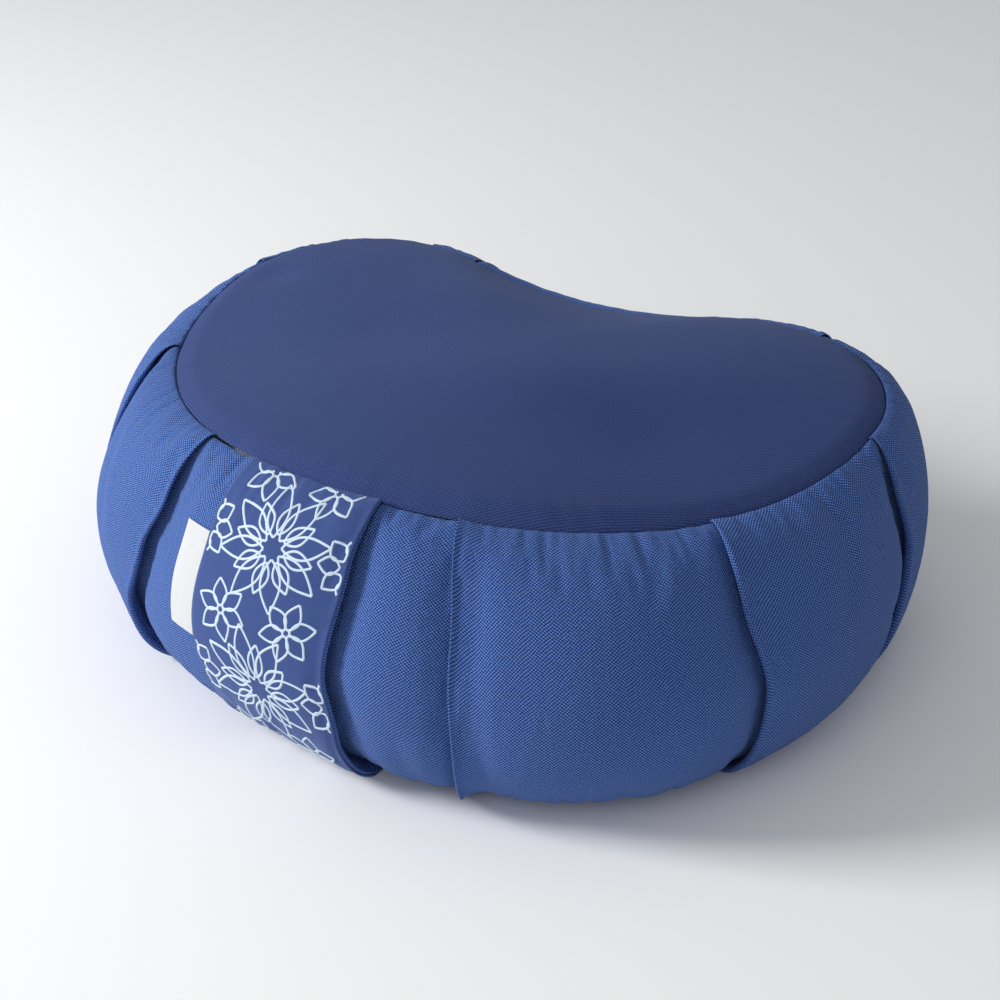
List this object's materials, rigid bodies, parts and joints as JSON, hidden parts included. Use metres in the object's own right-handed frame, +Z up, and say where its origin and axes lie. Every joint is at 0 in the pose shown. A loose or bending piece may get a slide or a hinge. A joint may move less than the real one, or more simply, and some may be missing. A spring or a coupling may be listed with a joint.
{
  "type": "floor cushion",
  "caption": "Crescent floor cushion for sitting: canvas cover with a pleated side wall, a ribbon and a blank label, zipped round a liner of loose hulls.",
  "frame": {"origin": "on the floor, under the middle of the cushion's bounding box", "axes": "+Z up, +X along the crescent towards its right lobe as seen from the front, -Y towards the full round front with the ribbon, +Y towards the hollow back with the zip"},
  "size_m": [0.4598, 0.3514, 0.1506],
  "materials": {
    "blue_canvas": "coarse cotton canvas",
    "woven_ribbon": "jacquard ribbon with pale raised thread",
    "white_label": "blank woven label",
    "blue_zip_tape": "woven polyester tape",
    "blue_zip_coil": "moulded nylon coil",
    "natural_calico": "unbleached plain-weave cotton",
    "pale_zip_tape": "woven polyester tape",
    "pale_zip_coil": "moulded nylon coil",
    "nickel": "nickel-plated zinc",
    "buckwheat_hulls": "loose dry hulls"
  },
  "bodies": {
    "cushion": {"cover_top_panel": "blue_canvas", "cover_bottom_panel": "blue_canvas", "cover_front_wall": "blue_canvas", "cover_back_wall_upper": "blue_canvas", "cover_back_wall_lower": "blue_canvas", "decorative_band": "woven_ribbon", "side_label": "white_label", "cover_zip_tape_upper": "blue_zip_tape", "cover_zip_tape_lower": "blue_zip_tape", "cover_zip_coil_upper": "blue_zip_coil", "cover_zip_coil_lower": "blue_zip_coil", "cover_zip_top_stop_upper": "nickel", "cover_zip_top_stop_lower": "nickel", "cover_zip_bottom_stop": "nickel", "liner_zip_top_stop_upper": "nickel", "liner_zip_top_stop_lower": "nickel", "liner_zip_bottom_stop": "nickel", "liner_top_panel": "natural_calico", "liner_bottom_panel": "natural_calico", "liner_front_wall": "natural_calico", "liner_back_wall_upper": "natural_calico", "liner_back_wall_lower": "natural_calico", "liner_zip_tape_upper": "pale_zip_tape", "liner_zip_tape_lower": "pale_zip_tape", "liner_zip_coil_upper": "pale_zip_coil", "liner_zip_coil_lower": "pale_zip_coil", "hull_filling": "buckwheat_hulls"},
    "cover_slider": {"cover_zip_slider": "nickel"},
    "cover_pull": {"cover_zip_pull": "nickel"},
    "liner_slider": {"liner_zip_slider": "nickel"},
    "liner_pull": {"liner_zip_pull": "nickel"}
  },
  "joints": [
    {"name": "cover_zip_run", "type": "hinge", "parent": "cushion", "child": "cover_slider", "pos_m": [0, 0.33445, 0.055], "axis": [0, 0, 1], "range_deg": [0, 33.7]},
    {"name": "cover_pull_swing", "type": "hinge", "parent": "cover_slider", "child": "cover_pull", "pos_m": [-0.05121, 0.16586, 0.055], "axis": [0, 0, 1], "range_deg": [0, 164]},
    {"name": "liner_zip_run", "type": "hinge", "parent": "cushion", "child": "liner_slider", "pos_m": [0, 0.33445, 0.055], "axis": [0, 0, 1], "range_deg": [0, 33.9]},
    {"name": "liner_pull_swing", "type": "hinge", "parent": "liner_slider", "child": "liner_pull", "pos_m": [-0.05459, 0.15591, 0.055], "axis": [0, 0, 1], "range_deg": [0, 6]}
  ]
}
